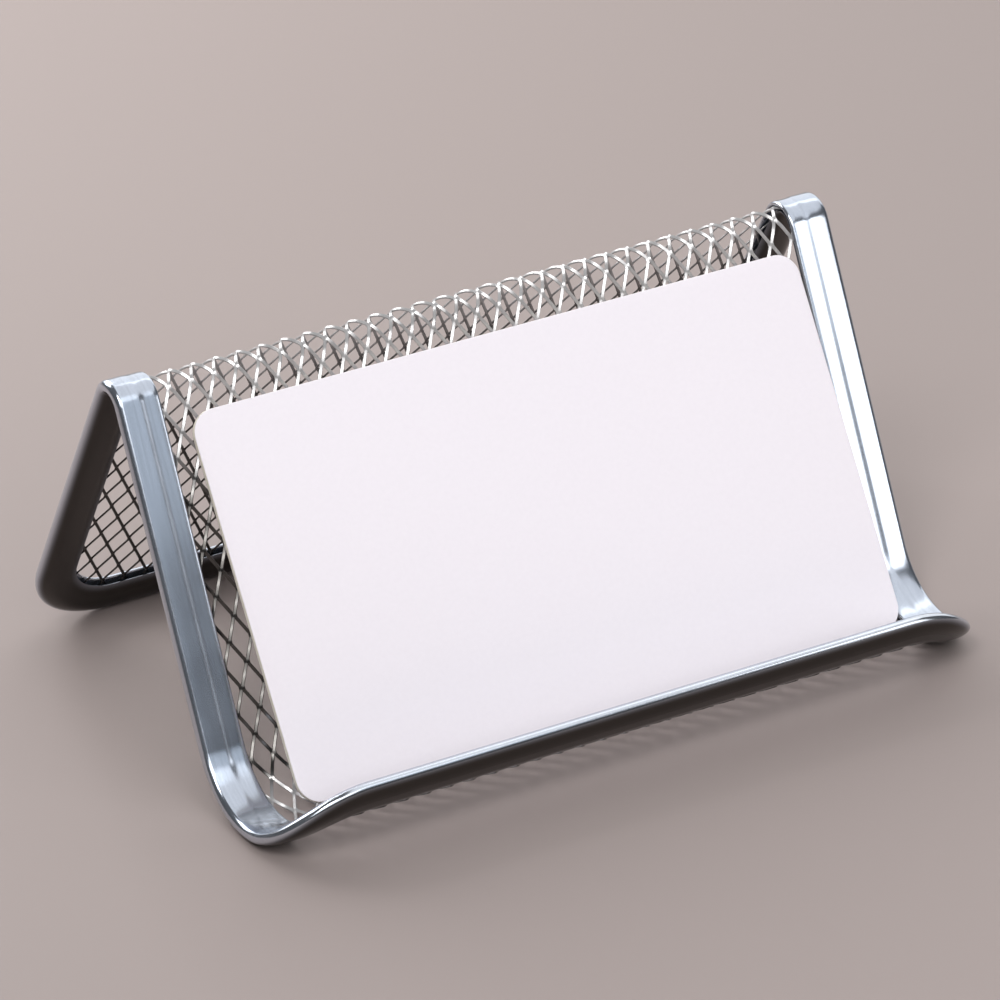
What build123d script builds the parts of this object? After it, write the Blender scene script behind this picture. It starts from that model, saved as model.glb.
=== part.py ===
# Wire-mesh business card stand: one bent sheet of expanded metal, held at its edge by a two-layer steel rim,
# with a card standing in its trough. Millimetres; +X to the right, +Y to the back, +Z up, the desk at Z = 0.
import os
from math import cos, radians, sin, sqrt, tan

from build123d import *

# Whole stand
overall_width = 104.5
overall_height = 48.6
front_angle = 62.5
rear_angle = 62.0
lip_angle = 68.0

# Bends, measured at the middle of the rim's thickness
ridge_radius = 2.8
trough_radius = 11.25
lip_run = 2.0

# Rim: a pressed shell with a rolled edge over a flat backing ring
rim_thickness = 2.0
rim_width = 5.9
band_width = 3.9
band_rise = 0.25
shell_sheet = 0.3
backing_sheet = 0.6
corner_radius = 12.6
roll_clearance = 0.5
roll_sides = 12
corner_fill_share = 0.97

# Expanded-metal sheet
mesh_sheet = 0.7
strand_width = 1.2
mesh_pitch_across = 7.3
mesh_pitch_along = 14.3
mesh_border = 0.6

# Card
card_width = 88.9
card_height = 50.8
card_sheet = 0.8
card_corner_radius = 3.2
card_shift = 1.0
card_clearance = 0.3

# Cuts
cut_overrun = 0.4

# Heights of the layers above and below the middle of the rim
half_rim = rim_thickness / 2
half_mesh = mesh_sheet / 2
plate_top = half_mesh + shell_sheet
band_top = plate_top + band_rise
backing_bottom = -half_mesh - backing_sheet
mesh_inset = rim_thickness + roll_clearance
cut_depth = half_rim + cut_overrun
reach = 2 * (overall_width + overall_height)

# Directions in the side view: along each leg, and square to its upper face
front_turn = radians(front_angle)
rear_turn = radians(rear_angle)
lip_turn = radians(lip_angle)
across = Vector(1, 0, 0)
up_front = Vector(0, cos(front_turn), sin(front_turn))
out_front = Vector(0, -sin(front_turn), cos(front_turn))
down_rear = Vector(0, cos(rear_turn), -sin(rear_turn))
out_rear = Vector(0, sin(rear_turn), cos(rear_turn))
up_lip = Vector(0, -cos(lip_turn), sin(lip_turn))
in_lip = Vector(0, sin(lip_turn), cos(lip_turn))

# Places in the side view: the axes of the two bends, and the roll's middle at the lip and at the foot
ridge_height = overall_height - half_rim - ridge_radius
trough_height = half_rim + trough_radius
front_run = (ridge_height - trough_height + (ridge_radius + trough_radius) * cos(front_turn)) / sin(front_turn)
rear_run = (ridge_height + ridge_radius * cos(rear_turn) - half_rim) / sin(rear_turn)
ridge_to_trough = (ridge_radius + trough_radius) * sin(front_turn) + front_run * cos(front_turn)
ridge_to_lip = ridge_to_trough + trough_radius * sin(lip_turn) + (lip_run - half_rim) * cos(lip_turn)
ridge_to_foot = ridge_radius * sin(rear_turn) + rear_run * cos(rear_turn)
ridge_y = (ridge_to_lip - ridge_to_foot) / 2
ridge_axis = Vector(0, ridge_y, ridge_height)
trough_axis = Vector(0, ridge_y - ridge_to_trough, trough_height)
foot_middle = ridge_axis + out_rear * ridge_radius + down_rear * rear_run
lip_middle = trough_axis - in_lip * trough_radius + up_lip * (lip_run - half_rim)

# Where the lip's corners begin on the trough: the slope of the sheet there, and its directions in the side view
corner_turn = lip_turn - (corner_radius - lip_run) / trough_radius
up_corner = Vector(0, -cos(corner_turn), sin(corner_turn))
in_corner = Vector(0, sin(corner_turn), cos(corner_turn))


def bend_point(axis, radius, out_one, out_two):
    """Where two legs of one bend would meet if the bend were sharp."""
    return axis + (out_one + out_two) * (radius / (1 + out_one.dot(out_two)))


def side_path_points(level):
    """Corners of the stand's side view, lip to foot, at a level above the middle of the rim."""
    lip_end = trough_axis - in_lip * (trough_radius - level) + up_lip * lip_run
    trough_corner = bend_point(trough_axis, level - trough_radius, out_front, in_lip)
    ridge_corner = bend_point(ridge_axis, ridge_radius + level, out_front, out_rear)
    foot_end = ridge_axis + out_rear * (ridge_radius + level) + down_rear * (rear_run + half_rim)
    return [(point.Y, point.Z) for point in (lip_end, trough_corner, ridge_corner, foot_end)]


def side_profile(low, high):
    """Side view of one layer of the stand, between two levels."""
    with BuildSketch(Plane.YZ) as profile:
        with BuildLine():
            under = FilletPolyline(*side_path_points(low), radius=[trough_radius - low, ridge_radius + low])
            over = FilletPolyline(*side_path_points(high), radius=[trough_radius - high, ridge_radius + high])
            Line(under @ 0, over @ 0)
            Line(under @ 1, over @ 1)
        make_face()
    return profile.sketch


def drop_at(length):
    """Distance of the bent lip behind the trough's axis, seen down the front slope, at a length from the lip's edge."""
    if length < lip_run:
        return trough_radius * cos(front_turn + lip_turn) - (lip_run - length) * sin(front_turn + lip_turn)
    return trough_radius * cos(front_turn + lip_turn - (length - lip_run) / trough_radius)


def lip_outline(inset):
    """Lip end of the flat pattern with its rounded corners, as it looks down the front slope."""
    half_width = overall_width / 2 - inset
    radius = corner_radius - inset
    corner_steps = 6
    corner = []
    for step in range(corner_steps + 1):
        turn = radians(90 * step / corner_steps)
        length = inset + radius * (1 - sin(turn))
        corner.append((half_width - radius * (1 - cos(turn)), drop_at(length)))
    with BuildSketch(Plane(trough_axis, x_dir=across, z_dir=up_front)) as outline:
        with BuildLine():
            right = Spline(*corner, tangents=[(0, -1), (-1, 0)])
            side = Line(right @ 0, (half_width, reach))
            Line(side @ 1, (0, reach))
            Line(right @ 1, (0, corner[-1][1]))
            mirror(about=Plane.YZ)
        make_face()
    return outline.sketch


def foot_outline(inset):
    """Foot end of the flat pattern with its rounded corners, square to the rear leg."""
    edge = half_rim - inset
    with BuildSketch(Plane(foot_middle, x_dir=across, z_dir=out_rear)) as outline:
        with Locations((0, edge)):
            Rectangle(overall_width - 2 * inset, reach, align=(Align.CENTER, Align.MAX))
        fillet(outline.vertices().group_by(Axis.Y)[-1], radius=corner_radius - inset)
    return outline.sketch


def bent_sheet(low, high, inset):
    """One layer of the stand between two levels, trimmed to the flat pattern at an inset from its edge."""
    extrude(side_profile(low, high), amount=overall_width / 2, both=True)
    extrude(lip_outline(inset), amount=reach, both=True, mode=Mode.INTERSECT)
    extrude(foot_outline(inset), amount=reach, both=True, mode=Mode.INTERSECT)


# Opening inside the rim, and the shallow step along the inner edge of its shell
with BuildPart() as window:
    bent_sheet(-cut_depth, cut_depth, rim_width)
with BuildPart() as step:
    bent_sheet(plate_top, cut_depth, band_width)

# Half of the line that the rolled edge follows, from the middle of the foot round to the middle of the lip
roll_half_width = overall_width / 2 - half_rim
side = across * roll_half_width
corner_start = trough_axis - in_corner * trough_radius + side
corner_end = lip_middle + across * (roll_half_width - corner_radius + half_rim)
corner_span = corner_end - corner_start
corner_sum = corner_span.dot(up_corner - across)
corner_reach = (sqrt(corner_sum**2 + 2 * corner_span.dot(corner_span)) - corner_sum) / 2
low_corner = corner_start + up_corner * corner_reach
high_corner = corner_end + across * corner_reach
corner_slope = (high_corner - low_corner).normalized()
low_radius = corner_fill_share * corner_reach / tan(radians(up_corner.get_angle(corner_slope)) / 2)
high_radius = corner_fill_share * corner_reach / tan(radians((across * -1).get_angle(corner_slope)) / 2)
with BuildLine() as roll_line:
    FilletPolyline(
        foot_middle,
        foot_middle + side,
        bend_point(ridge_axis, ridge_radius, out_front, out_rear) + side,
        bend_point(trough_axis, -trough_radius, out_front, in_corner) + side,
        low_corner,
        high_corner,
        lip_middle,
        radius=[corner_radius - half_rim, ridge_radius, trough_radius, low_radius, high_radius],
    )

# Rim shell: the flat band that shows, its crimped inner step and the roll round the outside
with BuildPart() as rim_shell:
    bent_sheet(half_mesh, band_top, half_rim)
    add(step.part, mode=Mode.SUBTRACT)
    add(window.part, mode=Mode.SUBTRACT)
    with BuildSketch(Plane(foot_middle, x_dir=down_rear, z_dir=across)) as roll_section:
        RegularPolygon(half_rim, roll_sides)
    roll = sweep(roll_section.sketch, path=roll_line.line)
    mirror(roll, about=Plane.YZ)

# Backing ring: the flat layer that clamps the mesh from underneath
with BuildPart() as rim_backing:
    bent_sheet(backing_bottom, -half_mesh, mesh_inset)
    add(window.part, mode=Mode.SUBTRACT)

# Flat length of the mesh, and the size of one diamond opening between its strands
with BuildLine(Plane.YZ):
    mesh_line = FilletPolyline(*side_path_points(0), radius=[trough_radius, ridge_radius])
flat_length = mesh_line.length
ridge_length = lip_run + trough_radius * (front_turn + lip_turn) + front_run + ridge_radius * front_turn
half_across = mesh_pitch_across / 2
half_along = mesh_pitch_along / 2
strand_gap = half_across * half_along / sqrt(half_across**2 + half_along**2)
opening_share = 1 - strand_width / 2 / strand_gap
opening_across = half_across * opening_share
opening_along = half_along * opening_share


def inside_border(x, length):
    """Whether a point of the flat pattern lies on the mesh, inside its plain border."""
    inset = mesh_inset + mesh_border
    past_side = abs(x) - (overall_width / 2 - inset)
    if past_side > 0 or not inset < length < flat_length - inset:
        return False
    corner_x = past_side + corner_radius - inset
    corner_y = corner_radius - min(length, flat_length - length)
    return corner_x <= 0 or corner_y <= 0 or corner_x**2 + corner_y**2 <= (corner_radius - inset) ** 2


# Mesh panel: the bent sheet with its staggered rows of diamonds, each row cut square to the sheet
rows_to_lip = int(ridge_length / half_along)
rows_to_foot = int((flat_length - ridge_length) / half_along)
columns = int(overall_width / mesh_pitch_across)
with BuildPart() as mesh_panel:
    bent_sheet(-half_mesh, half_mesh, mesh_inset)
    for row in range(-rows_to_lip, rows_to_foot + 1):
        length = ridge_length + row * half_along
        if not (opening_along < length < flat_length - opening_along):
            continue
        middle = mesh_line.position_at(length, PositionMode.LENGTH)
        along = mesh_line.tangent_at(length, position_mode=PositionMode.LENGTH)
        head = (mesh_line.position_at(length + opening_along, PositionMode.LENGTH) - middle).dot(along)
        tail = (mesh_line.position_at(length - opening_along, PositionMode.LENGTH) - middle).dot(along)
        places = []
        for column in range(-columns, columns + 1):
            x = (column + (row % 2) / 2) * mesh_pitch_across
            tips = [(x - opening_across, 0), (x + opening_across, 0), (x, opening_along), (x, -opening_along)]
            if all(inside_border(tip_x, length + tip_y) for tip_x, tip_y in tips):
                places.append((x, 0))
        if not places:
            continue
        with BuildSketch(Plane(middle, x_dir=across, z_dir=across.cross(along))):
            with Locations(*places):
                Polygon((-opening_across, 0), (0, tail), (opening_across, 0), (0, head), align=None)
    extrude(amount=mesh_sheet, both=True, mode=Mode.SUBTRACT)

# Card: its foot stands at the bottom of the trough, and its head leans back on the mesh
card_foot = trough_axis - Vector(0, 0, trough_radius - half_mesh - card_clearance)
card_head_level = half_mesh + card_clearance
foot_level = trough_radius + (card_foot - trough_axis).dot(out_front)
lean_share = (foot_level - card_head_level) / card_height
up_card = up_front * sqrt(1 - lean_share**2) - out_front * lean_share
card_plane = Plane(card_foot + across * card_shift, x_dir=across, z_dir=across.cross(up_card))
with BuildPart() as card:
    with BuildSketch(card_plane):
        with Locations((0, card_height / 2)):
            RectangleRounded(card_width, card_height, card_corner_radius)
    extrude(amount=card_sheet)

# One file for each piece
os.makedirs("parts", exist_ok=True)
mesh_panel.part.label = "mesh_panel"
export_step(mesh_panel.part, "parts/mesh_panel.step")
rim_shell.part.label = "rim_shell"
export_step(rim_shell.part, "parts/rim_shell.step")
rim_backing.part.label = "rim_backing"
export_step(rim_backing.part, "parts/rim_backing.step")
card.part.label = "card"
export_step(card.part, "parts/card.step")
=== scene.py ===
# %% [markdown]
# A wire-mesh stand for business cards, dressed in Blender.
# The stand is one sheet of expanded metal, bent over a ridge and up into a trough, with a painted steel rim
# folded round its edge and a white card standing in it. The CAD model is loaded first, because every piece made
# below has to sit in its places and to move with its bodies.

# %% The CAD frame
from math import cos, degrees, hypot, pi, radians, sin

import bpy
from mathutils import Euler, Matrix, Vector


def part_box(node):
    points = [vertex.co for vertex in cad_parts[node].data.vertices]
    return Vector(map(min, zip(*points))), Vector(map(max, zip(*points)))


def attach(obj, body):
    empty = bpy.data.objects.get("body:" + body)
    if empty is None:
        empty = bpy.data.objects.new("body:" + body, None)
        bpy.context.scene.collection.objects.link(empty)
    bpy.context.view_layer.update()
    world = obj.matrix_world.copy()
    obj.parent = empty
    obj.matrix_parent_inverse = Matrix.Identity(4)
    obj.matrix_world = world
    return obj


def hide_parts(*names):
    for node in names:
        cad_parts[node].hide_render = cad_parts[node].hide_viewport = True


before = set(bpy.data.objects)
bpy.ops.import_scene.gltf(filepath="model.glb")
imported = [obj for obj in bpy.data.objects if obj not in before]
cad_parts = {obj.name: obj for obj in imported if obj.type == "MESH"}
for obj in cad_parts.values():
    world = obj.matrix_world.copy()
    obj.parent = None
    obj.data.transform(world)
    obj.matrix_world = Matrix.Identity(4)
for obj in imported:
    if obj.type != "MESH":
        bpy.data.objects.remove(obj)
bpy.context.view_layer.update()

# %% [markdown]
# The real sheet is cut flat, rimmed and only then bent. The same order works here: each piece is drawn as a flat
# pattern, with X across, Y along the sheet from the lip's edge to the foot's edge and Z above its middle layer,
# and is bent at the end. The measures of the side view come first.

# %% Measures of the stand
mm = 0.001
stand_width = 104.5 * mm
stand_height = 48.6 * mm
front_turn = radians(62.5)
rear_turn = radians(62.0)
lip_turn = radians(68.0)
ridge_radius = 2.8 * mm
trough_radius = 11.25 * mm
lip_run = 2.0 * mm
half_rim = 1.0 * mm
corner = 12.6 * mm
same_point = 0.001 * mm
weld_gap = 0.005 * mm

ridge_height = stand_height - half_rim - ridge_radius
trough_height = half_rim + trough_radius
front_run = (ridge_height - trough_height + (ridge_radius + trough_radius) * cos(front_turn)) / sin(front_turn)
rear_run = (ridge_height + ridge_radius * cos(rear_turn) - half_rim) / sin(rear_turn)
ridge_to_trough = (ridge_radius + trough_radius) * sin(front_turn) + front_run * cos(front_turn)
ridge_to_lip = ridge_to_trough + trough_radius * sin(lip_turn) + (lip_run - half_rim) * cos(lip_turn)
ridge_to_foot = ridge_radius * sin(rear_turn) + rear_run * cos(rear_turn)
ridge_axis = Vector((0, (ridge_to_lip - ridge_to_foot) / 2, ridge_height))
trough_axis = Vector((0, ridge_axis.y - ridge_to_trough, trough_height))

trough_start = lip_run
trough_end = trough_start + trough_radius * (front_turn + lip_turn)
ridge_start = trough_end + front_run
ridge_end = ridge_start + ridge_radius * (front_turn + rear_turn)
flat_length = ridge_end + rear_run + half_rim
print("flat pattern: %.1f x %.1f mm" % (stand_width / mm, flat_length / mm))

# %% [markdown]
# A few small helpers keep the lesson short. Operators act on whatever is selected, and the CAD nodes are selected
# after loading, so every step starts by clearing the selection.

# %% Helpers for picking pieces and points
def clear_selection():
    if bpy.context.object and bpy.context.object.mode != "OBJECT":
        bpy.ops.object.mode_set(mode="OBJECT")
    bpy.ops.object.select_all(action="DESELECT")


def choose(piece):
    clear_selection()
    piece.select_set(True)
    bpy.context.view_layer.objects.active = piece


def pick_points(piece, test):
    bpy.ops.mesh.select_mode(type="VERT")
    bpy.ops.mesh.select_all(action="DESELECT")
    bpy.ops.object.mode_set(mode="OBJECT")
    for point in piece.data.vertices:
        point.select = test(point.co)
    bpy.ops.object.mode_set(mode="EDIT")


def pick_open_edges():
    bpy.ops.mesh.select_mode(type="EDGE")
    bpy.ops.mesh.select_all(action="DESELECT")
    bpy.ops.mesh.select_non_manifold(use_wire=False, use_multi_face=False, use_non_contiguous=False, use_verts=False)


def start_point(name, place):
    clear_selection()
    bpy.ops.mesh.primitive_plane_add(size=mm, location=place)
    bpy.ops.object.transform_apply(location=True, rotation=True, scale=True)
    piece = bpy.context.object
    piece.name = name
    bpy.ops.object.mode_set(mode="EDIT")
    bpy.ops.mesh.select_mode(type="VERT")
    bpy.ops.mesh.select_all(action="SELECT")
    bpy.ops.mesh.merge(type="CENTER")
    return piece


# %% [markdown]
# The side view is a single line: down the lip, round the trough, up the front leg, over the ridge and down the
# rear leg. It could be typed in as coordinates. Extruding one point and spinning it round each bend is closer to
# how the sheet is formed over two round bars, and it keeps the bends truly round.

# %% The line that the sheet is bent along
up_front = Vector((0, cos(front_turn), sin(front_turn)))
down_rear = Vector((0, cos(rear_turn), -sin(rear_turn)))
up_lip = Vector((0, -cos(lip_turn), sin(lip_turn)))
in_lip = Vector((0, sin(lip_turn), cos(lip_turn)))
out_front = Vector((0, -sin(front_turn), cos(front_turn)))
lip_edge = trough_axis - in_lip * trough_radius + up_lip * lip_run

bend_steps = 60
bend_line = start_point("bend_line", lip_edge)
bpy.ops.mesh.extrude_vertices_move(TRANSFORM_OT_translate={"value": up_lip * -lip_run})
bpy.ops.mesh.spin(steps=bend_steps, angle=front_turn + lip_turn, center=trough_axis, axis=(-1, 0, 0))
bpy.ops.mesh.extrude_vertices_move(TRANSFORM_OT_translate={"value": up_front * front_run})
bpy.ops.mesh.spin(steps=bend_steps, angle=front_turn + rear_turn, center=ridge_axis, axis=(1, 0, 0))
bpy.ops.mesh.extrude_vertices_move(TRANSFORM_OT_translate={"value": down_rear * (rear_run + half_rim)})
bpy.ops.object.mode_set(mode="OBJECT")
bpy.ops.object.convert(target="CURVE")
bend_line = bpy.context.object
line_points = bend_line.data.splines[0].points
if line_points[0].co.y > line_points[-1].co.y:
    bpy.ops.object.mode_set(mode="EDIT")
    bpy.ops.curve.select_all(action="SELECT")
    bpy.ops.curve.switch_direction()
    bpy.ops.object.mode_set(mode="OBJECT")
bend_line.data.dimensions = "3D"
bend_line.data.twist_mode = "Z_UP"
bend_line.data.use_deform_bounds = False
ends = [bend_line.data.splines[0].points[i].co.xyz / mm for i in (0, -1)]
print("bend line from (%.1f, %.1f) to (%.1f, %.1f) mm" % (ends[0].y, ends[0].z, ends[1].y, ends[1].z))


def bend(piece):
    choose(piece)
    piece.rotation_euler = (0, 0, -pi / 2)
    bpy.ops.object.transform_apply(location=True, rotation=True, scale=True)
    bpy.ops.object.modifier_add(type="CURVE")
    piece.modifiers["Curve"].object = bend_line
    piece.modifiers["Curve"].deform_axis = "POS_X"
    bpy.ops.object.modifier_apply(modifier="Curve")
    low = [min(point.co[i] for point in piece.data.vertices) / mm for i in range(3)]
    high = [max(point.co[i] for point in piece.data.vertices) / mm for i in range(3)]
    print(piece.name, "bent:", ["%.2f to %.2f" % pair for pair in zip(low, high)], len(piece.data.polygons), "faces")


# %% [markdown]
# The rim is a strip of thin steel folded over the edge of the mesh. Its section is drawn point by point as pairs of
# inset from the outer edge and level. On the show side a bull-nosed edge runs into a flat band, a shallow step
# marks where the press crimps it down, and the inner edge is softened. Underneath, the hem returns to meet the
# backing ring. These pairs are in millimetres.

# %% The rim shell's section
edge_steps = 9
edge_rise = 0.97
nose_reach = 0.8
hem_reach = 2.2
flat_band = [(1.6, 0.975), (2.7, 0.974), (3.0, 0.97)]
crimped_step = [(3.2, 0.958), (3.4, 0.938), (3.6, 0.918), (3.8, 0.905), (4.05, 0.898)]
inner_edge = [(5.0, 0.893), (5.55, 0.88), (5.72, 0.845), (5.84, 0.74), (5.9, 0.58), (5.86, 0.42), (5.75, 0.35)]
mesh_slot = [(2.3, 0.35), (2.3, -0.35)]
hem_face = [(2.495, -0.36), (2.495, -0.968)]

shell_section = []
for step in range(edge_steps + 1):
    turn = radians(90) * step / edge_steps
    shell_section.append((nose_reach * (1 - cos(turn)), edge_rise * sin(turn)))
shell_section += flat_band + crimped_step + inner_edge + mesh_slot + hem_face
for step in range(edge_steps):
    turn = radians(90) * step / edge_steps
    shell_section.append((hem_reach * (1 - sin(turn)), -edge_rise * cos(turn)))
print("rim section:", len(shell_section), "points")


# %% [markdown]
# A ring like this could be a curve with a bevel. Extruding its section along each side and spinning it round each
# corner gives cleaner control: the straight legs need no cuts at all, and the zones that will be bent get many.

# %% Sweeping a section round the flat pattern
ridge_cuts = 18
trough_cuts = 14
corner_cuts = 22


def sweep_round(name, section):
    half_width = stand_width / 2
    first, rest = section[0], section[1:]
    ring = start_point(name, (0, flat_length - first[0] * mm, first[1] * mm))
    last = first
    for point in rest:
        step = (0, (last[0] - point[0]) * mm, (point[1] - last[1]) * mm)
        bpy.ops.mesh.extrude_vertices_move(TRANSFORM_OT_translate={"value": step})
        last = point
    bpy.ops.mesh.select_all(action="SELECT")
    bpy.ops.mesh.remove_doubles(threshold=same_point)
    ends = [Vector((0, flat_length - end[0] * mm, end[1] * mm)) for end in (first, last)]
    pick_points(ring, lambda place: min((place - end).length for end in ends) < same_point)
    bpy.ops.mesh.edge_face_add()
    bpy.ops.mesh.select_mode(type="EDGE")
    bpy.ops.mesh.select_all(action="SELECT")

    def go(x, y, cuts=1):
        for cut in range(cuts):
            bpy.ops.mesh.extrude_region_move(TRANSFORM_OT_translate={"value": (x / cuts, y / cuts, 0)})

    def turn_round(x, y):
        bpy.ops.mesh.spin(steps=corner_cuts, angle=pi / 2, center=(x, y, 0), axis=(0, 0, 1))

    go(half_width - corner, 0)
    turn_round(half_width - corner, flat_length - corner)
    go(0, ridge_end - (flat_length - corner), 2)
    go(0, ridge_start - ridge_end, ridge_cuts)
    go(0, trough_end - ridge_start, 2)
    go(0, corner - trough_end, trough_cuts)
    turn_round(half_width - corner, corner)
    go(2 * corner - stand_width, 0, 2)
    turn_round(corner - half_width, corner)
    go(0, trough_end - corner, trough_cuts)
    go(0, ridge_start - trough_end, 2)
    go(0, ridge_end - ridge_start, ridge_cuts)
    go(0, flat_length - corner - ridge_end, 2)
    turn_round(corner - half_width, flat_length - corner)
    go(half_width - corner, 0)
    bpy.ops.mesh.select_all(action="SELECT")
    bpy.ops.mesh.remove_doubles(threshold=weld_gap)
    bpy.ops.mesh.normals_make_consistent(inside=False)
    bpy.ops.object.mode_set(mode="OBJECT")
    return ring


# %% [markdown]
# Once the sheet is bent, a point no longer knows where it was in the flat pattern. So every point of a ring keeps two
# numbers from it, its inset from the outer edge and its level, for the paint to read later. The shell is the first
# ring made this way.

# %% The rim shell
ring_smooth = radians(50)


def inset_at(x, y):
    to_side = stand_width / 2 - abs(x)
    to_end = min(y, flat_length - y)
    if to_side < corner and to_end < corner:
        return corner - hypot(corner - to_side, corner - to_end)
    return min(to_side, to_end)


def keep_place(piece):
    inset = piece.data.attributes.new("inset", "FLOAT", "POINT")
    level = piece.data.attributes.new("level", "FLOAT", "POINT")
    for point in piece.data.vertices:
        inset.data[point.index].value = inset_at(point.co.x, point.co.y) / mm
        level.data[point.index].value = point.co.z / mm


def make_ring(name, section):
    ring = sweep_round(name, section)
    keep_place(ring)
    bend(ring)
    choose(ring)
    bpy.ops.object.shade_smooth_by_angle(angle=ring_smooth)
    return ring


rim_shell = make_ring("shell_dressed", shell_section)

# %% [markdown]
# The backing ring is the flat strip that clamps the mesh from below. It meets the shell's hem with a hairline
# seam, and its inner edge is pressed thin, so that the strands come out from under it without a step.

# %% The backing ring
clamping_face = [(2.5, -0.36), (2.5, -0.968), (3.6, -0.955)]
pressed_edge = [(4.0, -0.92), (4.35, -0.84), (4.75, -0.7), (5.15, -0.55), (5.45, -0.45)]
thin_edge = [(5.55, -0.41), (5.54, -0.37), (5.45, -0.36)]
rim_backing = make_ring("backing_dressed", clamping_face + pressed_edge + thin_edge)

# %% [markdown]
# Expanded metal is a sheet with staggered slits that is pulled open. Every strand between two slits becomes a
# tilted ribbon that zigzags along the sheet and is joined to the strand on its left and on its right in turn.
# A wireframe modifier would only give round wires with flat crossings. One period of one ribbon is therefore
# extruded step by step, with its tilt, and then arrayed along and across. Its faces are turned outward while it
# is still a closed solid, because that is harder to tell on the bent, trimmed sheet.

# %% One period of one strand
pitch_across = 3.24 * mm
pitch_along = 5.95 * mm
strand_width = 0.49 * mm
strand_sheet = 0.25 * mm
strand_tilt = radians(30)
strand_edge = 0.07 * mm
bond_length = 0.5 * mm
bond_overlap = 0.08 * mm

sway = pitch_across / 4 - strand_width / 2 * cos(strand_tilt) + bond_overlap
heave = strand_width / 2 * sin(strand_tilt) - bond_overlap / 2
diagonal = pitch_along / 2 - bond_length

clear_selection()
bpy.ops.mesh.primitive_plane_add(size=1)
strand = bpy.context.object
strand.name = "mesh_dressed"
strand.scale = (strand_width, strand_sheet, 1)
bpy.ops.object.transform_apply(location=True, rotation=True, scale=True)
bpy.ops.object.mode_set(mode="EDIT")
bpy.ops.mesh.bevel(offset=strand_edge, segments=1, affect="VERTICES")
bpy.ops.object.mode_set(mode="OBJECT")
strand.rotation_euler = (pi / 2, -strand_tilt, 0)
strand.location = (-sway, 0, heave)
bpy.ops.object.transform_apply(location=True, rotation=True, scale=True)
bpy.ops.object.mode_set(mode="EDIT")
steps = [(0, bond_length / 2, 0)]
steps += [(sway, diagonal / 2, -heave)] * 2
steps += [(0, bond_length, 0)]
steps += [(-sway, diagonal / 2, heave)] * 2
steps += [(0, bond_length / 2, 0)]
for step in steps:
    bpy.ops.mesh.extrude_region_move(TRANSFORM_OT_translate={"value": step})
bpy.ops.mesh.select_mode(type="FACE")
bpy.ops.mesh.select_all(action="SELECT")
bpy.ops.mesh.normals_make_consistent(inside=False)
bpy.ops.object.mode_set(mode="OBJECT")
for face in strand.data.polygons:
    face.select = abs(face.normal.y) > 0.99
bpy.ops.object.mode_set(mode="EDIT")
bpy.ops.mesh.delete(type="ONLY_FACE")
bpy.ops.object.mode_set(mode="OBJECT")
print("one period:", len(strand.data.polygons), "faces, sway %.2f mm, heave %.2f mm" % (sway / mm, heave / mm))

# %% [markdown]
# The period is arrayed along the sheet, doubled with a shift of half a pitch both ways and arrayed across. The real
# lattice is a little askew in its rim, so the sheet is turned and laid so that one of its bonds falls where the
# photograph shows it.

# %% The whole sheet of strands
spare = 3
periods = int(flat_length / pitch_along) + spare
columns = int(stand_width / pitch_across) + spare


def array(piece, offset, count):
    choose(piece)
    bpy.ops.object.modifier_add(type="ARRAY")
    copies = piece.modifiers["Array"]
    copies.use_relative_offset = False
    copies.use_constant_offset = True
    copies.constant_offset_displace = offset
    copies.count = count
    copies.use_merge_vertices = offset[1] > 0
    copies.merge_threshold = 2 * same_point
    bpy.ops.object.modifier_apply(modifier="Array")


array(strand, (0, pitch_along, 0), periods)
bpy.ops.object.duplicate()
bpy.context.object.location = (pitch_across / 2, pitch_along / 2, 0)
strand.select_set(True)
bpy.context.view_layer.objects.active = strand
bpy.ops.object.join()
bpy.ops.object.transform_apply(location=True, rotation=True, scale=True)
array(strand, (pitch_across, 0, 0), columns)
skew = radians(2.2)
knot_in_sheet = Vector((2.75 * pitch_across, 8 * pitch_along, 0))
knot_on_stand = Vector((-44.8 * mm, 39.97 * mm, 0))
knot_in_sheet.rotate(Euler((0, 0, skew)))
strand.rotation_euler = (0, 0, skew)
strand.location = knot_on_stand - knot_in_sheet
bpy.ops.object.transform_apply(location=True, rotation=True, scale=True)
print("sheet:", columns * 2, "strands,", len(strand.data.polygons), "faces")

# %% [markdown]
# The sheet is trimmed to the rounded pattern just inside the rim's fold, with one straight cut for each side and
# a fan of cuts round each corner. Filling a whole cut at once would join strands that overlap at a bond, so the
# cut is left open and every strand's own end is closed after it. Extra cuts are laid where the ridge is going to
# bend the sheet tightly.

# %% Trimming the sheet
trim = 2.7 * mm
fan_turns = (18, 36, 54, 72)
ridge_slices = 12
half_trim = stand_width / 2 - trim
cuts = [((half_trim, 0), (1, 0)), ((-half_trim, 0), (-1, 0))]
cuts += [((0, trim), (0, -1)), ((0, flat_length - trim), (0, 1))]
for end, facing in ((0, -1), (flat_length, 1)):
    for side in (1, -1):
        fan_middle = Vector((side * (stand_width / 2 - corner), end - facing * corner))
        for turn in fan_turns:
            way = Vector((side * cos(radians(turn)), facing * sin(radians(turn))))
            cuts.append((fan_middle + way * (corner - trim), way))
choose(strand)
bpy.ops.object.mode_set(mode="EDIT")
for place, way in cuts:
    bpy.ops.mesh.select_all(action="SELECT")
    bpy.ops.mesh.bisect(plane_co=(*place, 0), plane_no=(*way, 0), clear_outer=True)
    pick_open_edges()
    bpy.ops.mesh.fill_holes(sides=0)
for cut in range(ridge_slices + 1):
    across = ridge_start + (ridge_end - ridge_start) * cut / ridge_slices
    bpy.ops.mesh.select_all(action="SELECT")
    bpy.ops.mesh.bisect(plane_co=(0, across, 0), plane_no=(0, 1, 0))
bpy.ops.mesh.select_all(action="SELECT")
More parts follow.
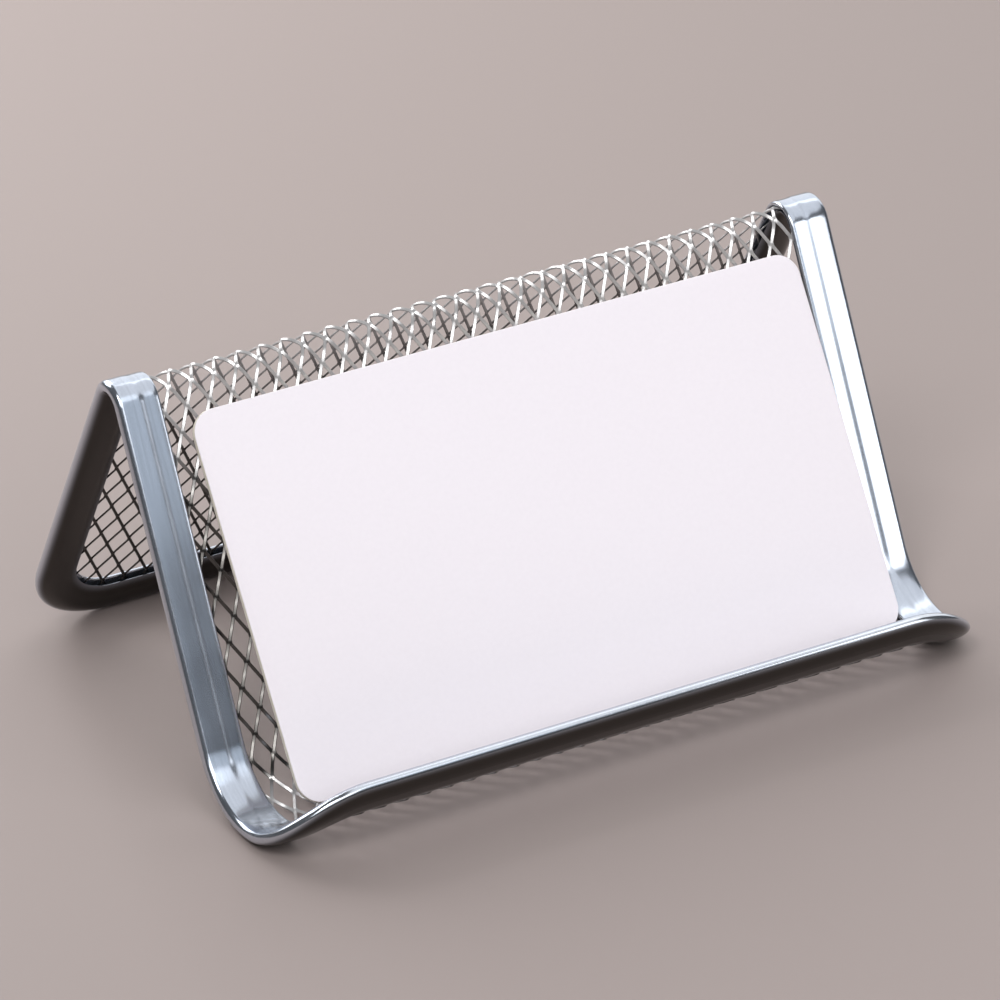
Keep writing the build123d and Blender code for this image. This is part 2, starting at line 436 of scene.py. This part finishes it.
bpy.ops.mesh.delete_loose(use_verts=True, use_edges=True, use_faces=False)
pick_open_edges()
bpy.ops.mesh.edge_face_add()
print("trimmed:", len(strand.data.polygons), "faces before the edit is closed")

# %% [markdown]
# Under the rim the press has squeezed the strands, so there they are flattened to fit between the shell and the
# backing. After that the sheet is ready to be bent.

# %% Pressing the strands flat under the rim
pressed_width = 5.7 * mm
pressed_share = 0.6
strand_smooth = radians(40)
pick_points(strand, lambda place: inset_at(place.x, place.y) < pressed_width)
bpy.ops.transform.resize(value=(1, 1, pressed_share), center_override=(0, 0, 0))
bpy.ops.object.mode_set(mode="OBJECT")
mesh_panel = strand
bend(mesh_panel)
choose(mesh_panel)
bpy.ops.object.shade_smooth_by_angle(angle=strand_smooth)

# %% [markdown]
# The card is stiff white board with rounded corners. A plane with bevelled corners is extruded to its thickness,
# and its edges are softened a little, because a die-cut edge is never razor sharp. It stands in the trough a little
# to the right of the middle, as in the photograph, and leans so that its head just clears the front leg.

# %% The card
card_width = 88.9 * mm
card_height = 50.8 * mm
card_sheet = 0.8 * mm
card_corner = 3.2 * mm
card_edge = 0.12 * mm
card_smooth = radians(30)
head_level = 0.65 * mm
card_aside = 1.0 * mm
foot_height = 1.65 * mm
card_foot = Vector((card_aside, trough_axis.y, foot_height))
foot_level = trough_radius + (card_foot - trough_axis).dot(out_front)
card_lean = front_turn - (foot_level - head_level) / card_height

clear_selection()
bpy.ops.mesh.primitive_plane_add(size=1, location=(0, 0.5, 0))
card = bpy.context.object
card.name = "card_dressed"
bpy.ops.object.transform_apply(location=True, rotation=True, scale=True)
card.scale = (card_width, card_height, 1)
bpy.ops.object.transform_apply(location=True, rotation=True, scale=True)
bpy.ops.object.mode_set(mode="EDIT")
bpy.ops.mesh.bevel(offset=card_corner, segments=12, affect="VERTICES")
bpy.ops.mesh.select_all(action="SELECT")
bpy.ops.mesh.extrude_region_move(TRANSFORM_OT_translate={"value": (0, 0, card_sheet)})
bpy.ops.mesh.select_all(action="SELECT")
bpy.ops.mesh.normals_make_consistent(inside=False)
bpy.ops.object.mode_set(mode="OBJECT")
bpy.ops.object.modifier_add(type="BEVEL")
softened = card.modifiers["Bevel"]
softened.width = card_edge
softened.segments = 3
softened.limit_method = "ANGLE"
softened.angle_limit = radians(60)
bpy.ops.object.modifier_apply(modifier="Bevel")
edge_mark = card.data.attributes.new("cut_edge", "FLOAT", "FACE")
for face in card.data.polygons:
    edge_mark.data[face.index].value = 1.0 if abs(face.normal.z) < 0.5 else 0.0
card.rotation_euler = (card_lean, 0, 0)
card.location = card_foot
bpy.ops.object.transform_apply(location=True, rotation=True, scale=True)
bpy.ops.object.shade_smooth_by_angle(angle=card_smooth)
low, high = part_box("card")
print("card leans at %.1f degrees; CAD card from" % degrees(card_lean), [round(v / mm, 2) for v in low],
      "to", [round(v / mm, 2) for v in high])

# %% [markdown]
# The bend line was only a tool. All the sheets are bent now, so it is deleted.

# %% The bend line has done its work
choose(bend_line)
bpy.ops.object.delete()
print("left:", [piece.name for piece in (rim_shell, rim_backing, mesh_panel, card)])


# %% [markdown]
# Paint next. Every colour here is computed from the place of a point, with no image. Three helpers make a node group,
# a node with its settings, and a node that spreads one range of numbers over 0 to 1.

# %% Helpers for node trees
def new_group(name, inputs, outputs):
    group = bpy.data.node_groups.new(name, "ShaderNodeTree")
    for label, kind, value in inputs:
        socket = group.interface.new_socket(label, in_out="INPUT", socket_type=kind)
        socket.default_value = value
    for label, kind in outputs:
        group.interface.new_socket(label, in_out="OUTPUT", socket_type=kind)
    return group, group.nodes.new("NodeGroupInput"), group.nodes.new("NodeGroupOutput")


def add_node(tree, kind, **settings):
    node = tree.nodes.new(kind)
    for key, value in settings.items():
        if key in node.inputs.keys():
            node.inputs[key].default_value = value
        else:
            setattr(node, key, value)
    return node


def add_range(tree, low, high, **settings):
    node = add_node(tree, "ShaderNodeMapRange", **settings)
    node.inputs["From Min"].default_value, node.inputs["From Max"].default_value = low, high
    return node


mix_first, mix_second, mix_result = 6, 7, 2

# %% [markdown]
# The metal is sprayed with a silver, slightly blue paint: tiny flakes, a faint unevenness of the coat and a surface
# like very fine orange peel. Both metal paints share these, so they are one node group.

# %% A node group for sprayed metal flake
grain_share = 0.45
coat_share = 0.55
flake, flake_in, flake_out = new_group(
    "sprayed_flake",
    [("Light", "NodeSocketColor", (0.62, 0.65, 0.70, 1)), ("Dark", "NodeSocketColor", (0.42, 0.45, 0.50, 1)),
     ("Rough", "NodeSocketFloat", 0.3), ("Spread", "NodeSocketFloat", 0.12)],
    [("Colour", "NodeSocketColor"), ("Roughness", "NodeSocketFloat"), ("Height", "NodeSocketFloat")])
place = add_node(flake, "ShaderNodeTexCoord")
coat = add_node(flake, "ShaderNodeTexNoise", Scale=160.0, Detail=2.0)
grain = add_node(flake, "ShaderNodeTexNoise", Scale=5200.0, Detail=1.0)
peel = add_node(flake, "ShaderNodeTexNoise", Scale=650.0, Detail=1.0)
both = add_node(flake, "ShaderNodeMath", operation="MULTIPLY_ADD")
both.inputs[1].default_value = grain_share
mix = add_node(flake, "ShaderNodeMix", data_type="RGBA")
rough = add_node(flake, "ShaderNodeMath", operation="MULTIPLY_ADD")
half = add_node(flake, "ShaderNodeMath", operation="MULTIPLY")
half.inputs[1].default_value = coat_share
link = flake.links.new
for noise in (coat, grain, peel):
    link(place.outputs["Object"], noise.inputs["Vector"])
link(grain.outputs["Fac"], both.inputs[0])
link(coat.outputs["Fac"], half.inputs[0])
link(half.outputs[0], both.inputs[2])
link(both.outputs[0], mix.inputs["Factor"])
link(flake_in.outputs["Dark"], mix.inputs[mix_first])
link(flake_in.outputs["Light"], mix.inputs[mix_second])
link(mix.outputs[mix_result], flake_out.inputs["Colour"])
link(coat.outputs["Fac"], rough.inputs[0])
link(flake_in.outputs["Spread"], rough.inputs[1])
link(flake_in.outputs["Rough"], rough.inputs[2])
link(rough.outputs[0], flake_out.inputs["Roughness"])
link(peel.outputs["Fac"], flake_out.inputs["Height"])
print("group:", flake.name, "with", len(flake.nodes), "nodes")


# %% [markdown]
# Marks that belong to the rim alone come from the two numbers that each point kept from the flat pattern. The
# inset says where the nose and the inner edge are, and there handling has polished the coat. It also draws darker
# streaks along the strip all the way round, partly a streaky coat and partly painted reflection of the strips. The
# level says which side is underneath, and there the paint is darkened: painted shade for the shade that falls there.

# %% A node group for the rim's marks
nose_zone = (0.5, 0.0)
inner_zone = (5.6, 5.85)
# levels below the middle layer, where the rim's paint is darkened as painted shade
underside_shade_zone = (-0.1, -0.8)
streak_spacing = 0.035
marks, _, marks_out = new_group(
    "rim_marks", [], [("Wear", "NodeSocketFloat"), ("StreakAndReflection", "NodeSocketFloat"), ("UndersideShade", "NodeSocketFloat")])
inset = add_node(marks, "ShaderNodeAttribute", attribute_name="inset")
level = add_node(marks, "ShaderNodeAttribute", attribute_name="level")
place = add_node(marks, "ShaderNodeTexCoord")
outer = add_range(marks, *nose_zone, interpolation_type="SMOOTHSTEP")
inner = add_range(marks, *inner_zone, interpolation_type="SMOOTHSTEP")
wear = add_node(marks, "ShaderNodeMath", operation="MAXIMUM")
spread = add_node(marks, "ShaderNodeMath", operation="MULTIPLY")
spread.inputs[1].default_value = streak_spacing
streak = add_node(marks, "ShaderNodeTexNoise", noise_dimensions="4D", Scale=55.0, Detail=2.0)
under = add_range(marks, *underside_shade_zone, interpolation_type="SMOOTHSTEP")
link = marks.links.new
link(inset.outputs["Fac"], outer.inputs["Value"])
link(inset.outputs["Fac"], inner.inputs["Value"])
link(outer.outputs["Result"], wear.inputs[0])
link(inner.outputs["Result"], wear.inputs[1])
link(inset.outputs["Fac"], spread.inputs[0])
link(spread.outputs[0], streak.inputs["W"])
link(place.outputs["Object"], streak.inputs["Vector"])
link(level.outputs["Fac"], under.inputs["Value"])
link(wear.outputs[0], marks_out.inputs["Wear"])
link(streak.outputs["Fac"], marks_out.inputs["StreakAndReflection"])
link(under.outputs["Result"], marks_out.inputs["UndersideShade"])
print("group:", marks.name, "with", len(marks.nodes), "nodes")


# %% [markdown]
# Both paints start as the flake group on a mostly metallic shader, with the flake's height as a very low relief. The
# relief is for the grain of the spray only: everything with a visible shape is modelled.

# %% Making a paint
relief_strength = 0.08
relief_depth = 0.01 * mm
metal_share = 0.9


def new_material(name, metallic, bump):
    material = bpy.data.materials.new(name)
    material.use_nodes = True
    shader = material.node_tree.nodes["Principled BSDF"]
    shader.inputs["Metallic"].default_value = metallic
    relief = add_node(material.node_tree, "ShaderNodeBump", Strength=bump)
    relief.inputs["Distance"].default_value = relief_depth
    material.node_tree.links.new(relief.outputs["Normal"], shader.inputs["Normal"])
    return material, shader, relief


def flake_paint(name, light, dark, rough, spread):
    material, shader, relief = new_material(name, metal_share, relief_strength)
    tree = material.node_tree
    paint = add_node(tree, "ShaderNodeGroup", node_tree=flake, Light=light, Dark=dark, Rough=rough, Spread=spread)
    tree.links.new(paint.outputs["Colour"], shader.inputs["Base Color"])
    tree.links.new(paint.outputs["Roughness"], shader.inputs["Roughness"])
    tree.links.new(paint.outputs["Height"], relief.inputs["Height"])
    return material, shader, paint


def mixed(tree, factor, first, colour):
    mix = add_node(tree, "ShaderNodeMix", data_type="RGBA")
    mix.inputs[mix_second].default_value = colour
    tree.links.new(factor, mix.inputs["Factor"])
    tree.links.new(first, mix.inputs[mix_first])
    return mix.outputs[mix_result]


# %% [markdown]
# The mesh is pale on the ridge, more paint than metal, and is darkened lower down towards a dark steel colour as
# painted shade. In the bottom of the trough the painted shade is lifted again, a painted light on the strands for the
# light that falls into the trough and off the card.

# %% Mesh paint
mesh_paint, mesh_shader, mesh_flake = flake_paint(
    "mesh_paint", light=(0.60, 0.59, 0.59, 1), dark=(0.40, 0.39, 0.39, 1), rough=0.20, spread=0.08)
# painted shade: the dark colour the mesh is darkened to lower down
mesh_painted_shade = (0.095, 0.09, 0.085, 1)
painted_shade_zone = (46 * mm, 33 * mm)
trough_painted_light_zone = (1.5 * mm, 4.0 * mm)
unshaded_metal = 0.35
tree = mesh_paint.node_tree
place = add_node(tree, "ShaderNodeTexCoord")
height = add_node(tree, "ShaderNodeSeparateXYZ")
shade_below_ridge = add_range(tree, *painted_shade_zone, interpolation_type="SMOOTHSTEP")
trough_painted_light = add_range(tree, *trough_painted_light_zone, interpolation_type="SMOOTHSTEP")
painted_shade_mask = add_node(tree, "ShaderNodeMath", operation="MULTIPLY")
tree.links.new(place.outputs["Object"], height.inputs[0])
tree.links.new(height.outputs["Z"], shade_below_ridge.inputs["Value"])
tree.links.new(height.outputs["Z"], trough_painted_light.inputs["Value"])
tree.links.new(shade_below_ridge.outputs["Result"], painted_shade_mask.inputs[0])
tree.links.new(trough_painted_light.outputs["Result"], painted_shade_mask.inputs[1])
# painted shade below the ridge, lifted in the bottom of the trough as painted light
mesh_shaded_colour = mixed(tree, painted_shade_mask.outputs[0], mesh_flake.outputs["Colour"], mesh_painted_shade)
tree.links.new(mesh_shaded_colour, mesh_shader.inputs["Base Color"])
gleam = add_range(tree, 0.0, 1.0)
gleam.inputs["To Min"].default_value, gleam.inputs["To Max"].default_value = unshaded_metal, metal_share
tree.links.new(painted_shade_mask.outputs[0], gleam.inputs["Value"])
tree.links.new(gleam.outputs["Result"], mesh_shader.inputs["Metallic"])
print("paint:", mesh_paint.name, "with", len(tree.nodes), "nodes")

# %% [markdown]
# The rim gets a satin coat of the same flake, bluer and smoother. Its marks are laid over each other in turn: the
# darker streaks, partly painted reflection, the polished edges and the painted shade on the underside.

# %% Rim paint
rim_paint, rim_shader, rim_flake = flake_paint(
    "rim_paint", light=(0.58, 0.63, 0.72, 1), dark=(0.43, 0.47, 0.55, 1), rough=0.14, spread=0.08)
# darker streaks: partly a streaky coat, partly painted reflection of the strips
streak_and_reflection_colour = (0.36, 0.39, 0.44, 1)
polished_colour = (0.80, 0.81, 0.83, 1)
# painted shade: the dark colour laid on the rim's underside
underside_painted_shade = (0.065, 0.058, 0.053, 1)
streak_zone = (0.45, 0.75)
streak_strength = 0.35
polish_strength = 0.25
tree = rim_paint.node_tree
rim_mark = add_node(tree, "ShaderNodeGroup", node_tree=marks)
faint = add_range(tree, *streak_zone)
faint.inputs["To Max"].default_value = streak_strength
polish = add_node(tree, "ShaderNodeMath", operation="MULTIPLY")
polish.inputs[1].default_value = polish_strength
tree.links.new(rim_mark.outputs["StreakAndReflection"], faint.inputs["Value"])
tree.links.new(rim_mark.outputs["Wear"], polish.inputs[0])
# darker streaks mixed into the rim colour, in part painted reflection
streaked = mixed(tree, faint.outputs["Result"], rim_flake.outputs["Colour"], streak_and_reflection_colour)
polished = mixed(tree, polish.outputs[0], streaked, polished_colour)
# painted shade mixed in on the underside
shaded = mixed(tree, rim_mark.outputs["UndersideShade"], polished, underside_painted_shade)
tree.links.new(shaded, rim_shader.inputs["Base Color"])
print("paint:", rim_paint.name, "with", len(tree.nodes), "nodes")

# %% [markdown]
# The card is uncoated white board with the faintest cool tint. Its fibres show as a very fine mottle, and its cut
# edge is creamy, because the core of the board is not bleached.

# %% Card stock
card_stock, card_shader, card_relief = new_material("card_stock", metallic=0.0, bump=relief_strength)
board_core = (0.84, 0.79, 0.68, 1)
tree = card_stock.node_tree
place = add_node(tree, "ShaderNodeTexCoord")
fibre = add_node(tree, "ShaderNodeTexNoise", Scale=1800.0, Detail=4.0)
tint = add_node(tree, "ShaderNodeMix", data_type="RGBA")
tint.inputs[mix_first].default_value = (0.86, 0.81, 0.86, 1)
tint.inputs[mix_second].default_value = (0.90, 0.85, 0.90, 1)
tree.links.new(place.outputs["Object"], fibre.inputs["Vector"])
tree.links.new(fibre.outputs["Fac"], tint.inputs["Factor"])
cut_edge = add_node(tree, "ShaderNodeAttribute", attribute_name="cut_edge")
edged = mixed(tree, cut_edge.outputs["Fac"], tint.outputs[mix_result], board_core)
tree.links.new(edged, card_shader.inputs["Base Color"])
tree.links.new(fibre.outputs["Fac"], card_relief.inputs["Height"])
card_shader.inputs["Roughness"].default_value = 0.55
print("paint:", card_stock.name, "with", len(tree.nodes), "nodes")

# %% [markdown]
# Each piece now gets its paint and is tied to the CAD model: it rides on a body, stands for a node and fills that
# node's material slot.

# %% Dressing the pieces
for piece, material, body, node, slot in (
    (rim_shell, rim_paint, "stand", "rim_shell", "rim_paint"),
    (rim_backing, rim_paint, "stand", "rim_backing", "rim_paint"),
    (mesh_panel, mesh_paint, "stand", "mesh_panel", "mesh_paint"),
    (card, card_stock, "card", "card", "card_stock"),
):
    piece.data.materials.clear()
    piece.data.materials.append(material)
    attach(piece, body)
    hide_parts(node)
    triangles = sum(len(face.vertices) - 2 for face in piece.data.polygons)
    print(piece.name, "rides on", body, "with", triangles, "triangles")

# %% [markdown]
# The stand is set on a wide, plain pale floor with a faint warm tone, large enough that no edge of it is seen.

# %% Floor
floor_size = 6
clear_selection()
bpy.ops.mesh.primitive_plane_add(size=floor_size, location=(0, 0, 0))
floor = bpy.context.object
floor.name = "floor"
floor_paint, floor_shader, floor_relief = new_material("floor_paint", metallic=0.0, bump=0.05)
floor_tree = floor_paint.node_tree
floor_noise = add_node(floor_tree, "ShaderNodeTexNoise", Scale=3.0, Detail=2.0)
floor_tint = add_node(floor_tree, "ShaderNodeMix", data_type="RGBA")
floor_tint.inputs[mix_first].default_value = (0.288, 0.240, 0.227, 1)
floor_tint.inputs[mix_second].default_value = (0.308, 0.257, 0.244, 1)
floor_place = add_node(floor_tree, "ShaderNodeTexCoord")
floor_tree.links.new(floor_place.outputs["Object"], floor_noise.inputs["Vector"])
floor_tree.links.new(floor_noise.outputs["Fac"], floor_tint.inputs["Factor"])
floor_tree.links.new(floor_tint.outputs[mix_result], floor_shader.inputs["Base Color"])
floor_tree.links.new(floor_noise.outputs["Fac"], floor_relief.inputs["Height"])
floor_shader.inputs["Roughness"].default_value = 0.7
floor.data.materials.append(floor_paint)
print("floor:", floor.name, "with", floor_paint.name)


# %% [markdown]
# Soft light. A large key from the upper left front lights the card, a panel behind lights the floor and the crest
# and throws the shadow forward, and one overhead draws the shine of the trough. A small panel high on the left
# makes the strands sparkle, and another, low behind the stand, brightens the floor at the back. Two small cards
# close to the front decide what the flat strips mirror: a white one for the right, a dim one for the left. The
# rest of the room stays dark, as it does round a studio table.

# %% Lights
light_aim = Vector((0, 0, 25 * mm))
white = (1, 1, 1)
cool = (0.85, 0.93, 1.0)


def soft_panel(name, place, size, watts, colour):
    clear_selection()
    bpy.ops.object.light_add(type="AREA", location=place)
    panel = bpy.context.object
    panel.name = name
    panel.data.shape = "RECTANGLE"
    panel.data.size, panel.data.size_y = size
    panel.data.energy = watts
    panel.data.color = colour
    panel.rotation_euler = (light_aim - Vector(place)).to_track_quat("-Z", "Y").to_euler()
    print("%s: %.2f x %.2f m, %.3g W" % (name, *size, watts))


soft_panel("key_panel", (-0.48, -0.9, 0.97), (1.5, 0.75), 9.3, white)
soft_panel("strand_panel", (-0.6, -0.4, 1.0), (0.4, 0.4), 4.2, white)
soft_panel("side_panel", (-0.1, 0.38, 0.26), (0.4, 0.25), 1.5, white)
soft_panel("back_panel", (0.45, 0.75, 0.52), (1.8, 1.0), 7.6, white)
soft_panel("overhead_panel", (0.35, -0.08, 1.15), (1.7, 0.9), 5.2, white)
soft_panel("left_strip_card", (0.079, -0.277, 0.297), (0.15, 0.3), 0.115, cool)
soft_panel("right_strip_card", (0.178, -0.213, 0.113), (0.07, 0.18), 0.13, white)

world = bpy.data.worlds.new("studio")
bpy.context.scene.world = world
world.use_nodes = True
sky = world.node_tree.nodes["Background"]
sky.inputs["Color"].default_value = (0.85, 0.92, 1.0, 1)
sky.inputs["Strength"].default_value = 0.05

# %% [markdown]
# The camera stands where the photograph was taken from: a long lens, from the left and a little above. The stand is
# not quite in the middle of the photograph, so the camera aims a hair to the right of it and below it.

# %% Camera
azimuth = radians(30.14)
elevation = radians(28.6)
distance = 898.35 * mm
aim_right = 0.004142
aim_down = 0.00731
lens_mm = 251.37
sensor_mm = 36
target = Vector((0, ridge_axis.y, 25 * mm))
ahead = Vector((sin(azimuth) * cos(elevation), cos(azimuth) * cos(elevation), -sin(elevation)))
right = Vector((cos(azimuth), -sin(azimuth), 0))
up = right.cross(ahead)
eye = target - ahead * distance
aim = (ahead + right * aim_right - up * aim_down).normalized()

clear_selection()
bpy.ops.object.camera_add(location=eye, rotation=aim.to_track_quat("-Z", "Y").to_euler())
camera = bpy.context.object
camera.data.sensor_width = sensor_mm
camera.data.sensor_fit = "HORIZONTAL"
camera.data.lens = lens_mm
camera.data.clip_start = 0.05
camera.data.clip_end = 20
bpy.context.scene.camera = camera
bpy.context.scene.view_settings.view_transform = "Standard"
print("camera at", [round(v / mm) for v in eye], "mm")
